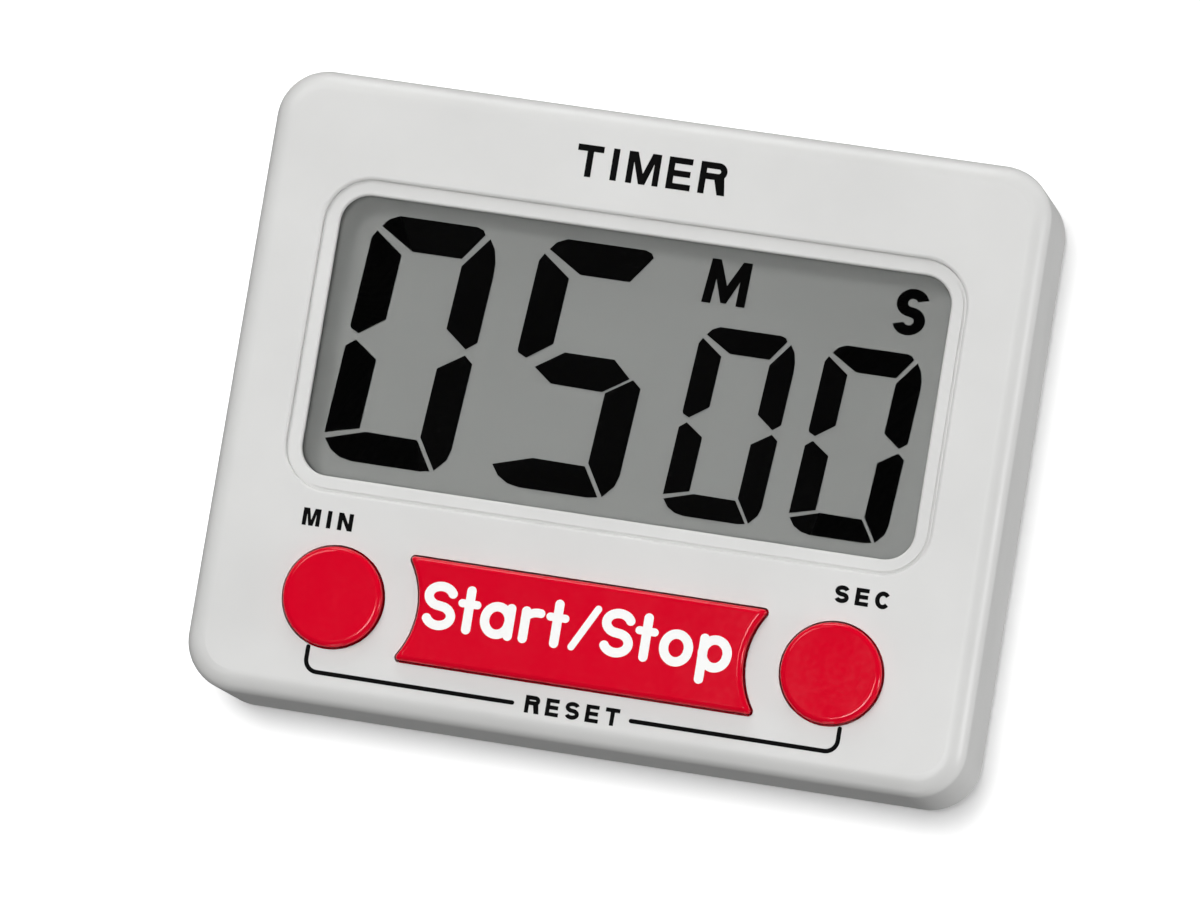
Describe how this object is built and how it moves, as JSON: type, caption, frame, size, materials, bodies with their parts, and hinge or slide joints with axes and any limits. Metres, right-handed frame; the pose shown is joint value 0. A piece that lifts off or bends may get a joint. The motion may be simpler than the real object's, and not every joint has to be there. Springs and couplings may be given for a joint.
{
  "type": "lab timer",
  "caption": "Pocket laboratory countdown timer with large digits, three red keys, fold-out stand and magnetic back.",
  "frame": {"origin": "centre of the back's outline, on the back plane that the timer rests on", "axes": "+X to the right of the face, +Y to the top edge of the face, +Z out of the face; the timer lies on its back, face up"},
  "size_m": [0.076, 0.061, 0.0189],
  "materials": {
    "case_white": "fine satin ABS, white",
    "window_clear": "clear polished acrylic",
    "polariser_film": "clear grey polarising film",
    "display_glass": "clear display glass",
    "display_backing": "grey reflective display background",
    "seal_epoxy": "grey epoxy edge seal",
    "segment_black": "black liquid-crystal segments",
    "reflector_foil": "matt silver foil",
    "frame_plastic": "natural ABS",
    "contact_rubber": "banded conductive rubber",
    "board_green": "green solder mask over glass-fibre board",
    "carbon_black": "printed carbon",
    "chip_epoxy": "black moulded epoxy",
    "tin_can": "tinned can",
    "resistor_black": "black film resistor",
    "capacitor_tan": "tan ceramic",
    "silicone_grey": "translucent grey silicone",
    "key_red": "glossy red ABS",
    "sounder_brass": "thin brass disc",
    "sounder_ceramic": "silvered ceramic",
    "wire_red": "red insulated wire",
    "wire_black": "black insulated wire",
    "cell_can": null,
    "cell_label": "printed sleeve, plain",
    "contact_nickel": "nickel-plated spring steel",
    "magnet_ferrite": "ground ferrite",
    "screw_steel": "zinc-plated steel"
  },
  "bodies": {
    "case": {"front_case": "case_white", "rear_case": "case_white", "display_window": "window_clear", "lcd_polariser": "polariser_film", "lcd_front_glass": "display_glass", "lcd_rear_glass": "display_backing", "lcd_edge_seal": "seal_epoxy", "lcd_digits": "segment_black", "lcd_reflector": "reflector_foil", "lcd_frame": "frame_plastic", "zebra_strip": "contact_rubber", "circuit_board": "board_green", "key_pads": "carbon_black", "chip_blob": "chip_epoxy", "timing_crystal": "tin_can", "board_resistors": "resistor_black", "board_capacitors": "capacitor_tan", "keypad_mat": "silicone_grey", "min_dome": "silicone_grey", "start_stop_dome": "silicone_grey", "sec_dome": "silicone_grey", "sounder_disc": "sounder_brass", "sounder_ceramic": "sounder_ceramic", "sounder_wire_red": "wire_red", "sounder_wire_black": "wire_black", "aaa_cell": "cell_can", "cell_sleeve": "cell_label", "positive_contact": "contact_nickel", "negative_contact": "contact_nickel", "battery_spring": "contact_nickel", "magnets": "magnet_ferrite", "case_screws": "screw_steel", "board_screws": "screw_steel"},
    "min_key": {"min_button": "key_red", "min_puck": "silicone_grey", "min_pill": "carbon_black"},
    "start_stop_key": {"start_stop_button": "key_red", "start_stop_puck": "silicone_grey", "start_stop_pill": "carbon_black"},
    "sec_key": {"sec_button": "key_red", "sec_puck": "silicone_grey", "sec_pill": "carbon_black"},
    "door": {"battery_door": "case_white"},
    "stand_flap": {"stand": "case_white"}
  },
  "joints": [
    {"name": "min_press", "type": "slide", "parent": "case", "child": "min_key", "axis": [0, 0, -1], "range_m": [0, 0.0008], "stiffness_N_per_m": 600, "springref_m": -0.0006, "deforming": ["min_dome"]},
    {"name": "start_stop_press", "type": "slide", "parent": "case", "child": "start_stop_key", "axis": [0, 0, -1], "range_m": [0, 0.0008], "stiffness_N_per_m": 600, "springref_m": -0.0006, "deforming": ["start_stop_dome"]},
    {"name": "sec_press", "type": "slide", "parent": "case", "child": "sec_key", "axis": [0, 0, -1], "range_m": [0, 0.0008], "stiffness_N_per_m": 600, "springref_m": -0.0006, "deforming": ["sec_dome"]},
    {"name": "door_slide", "type": "slide", "parent": "case", "child": "door", "axis": [0, -1, 0], "range_m": [0, 0.018]},
    {"name": "stand_hinge", "type": "hinge", "parent": "case", "child": "stand_flap", "pos_m": [0, 0.0165, 0.0016], "axis": [1, 0, 0], "range_deg": [0, 60]}
  ]
}
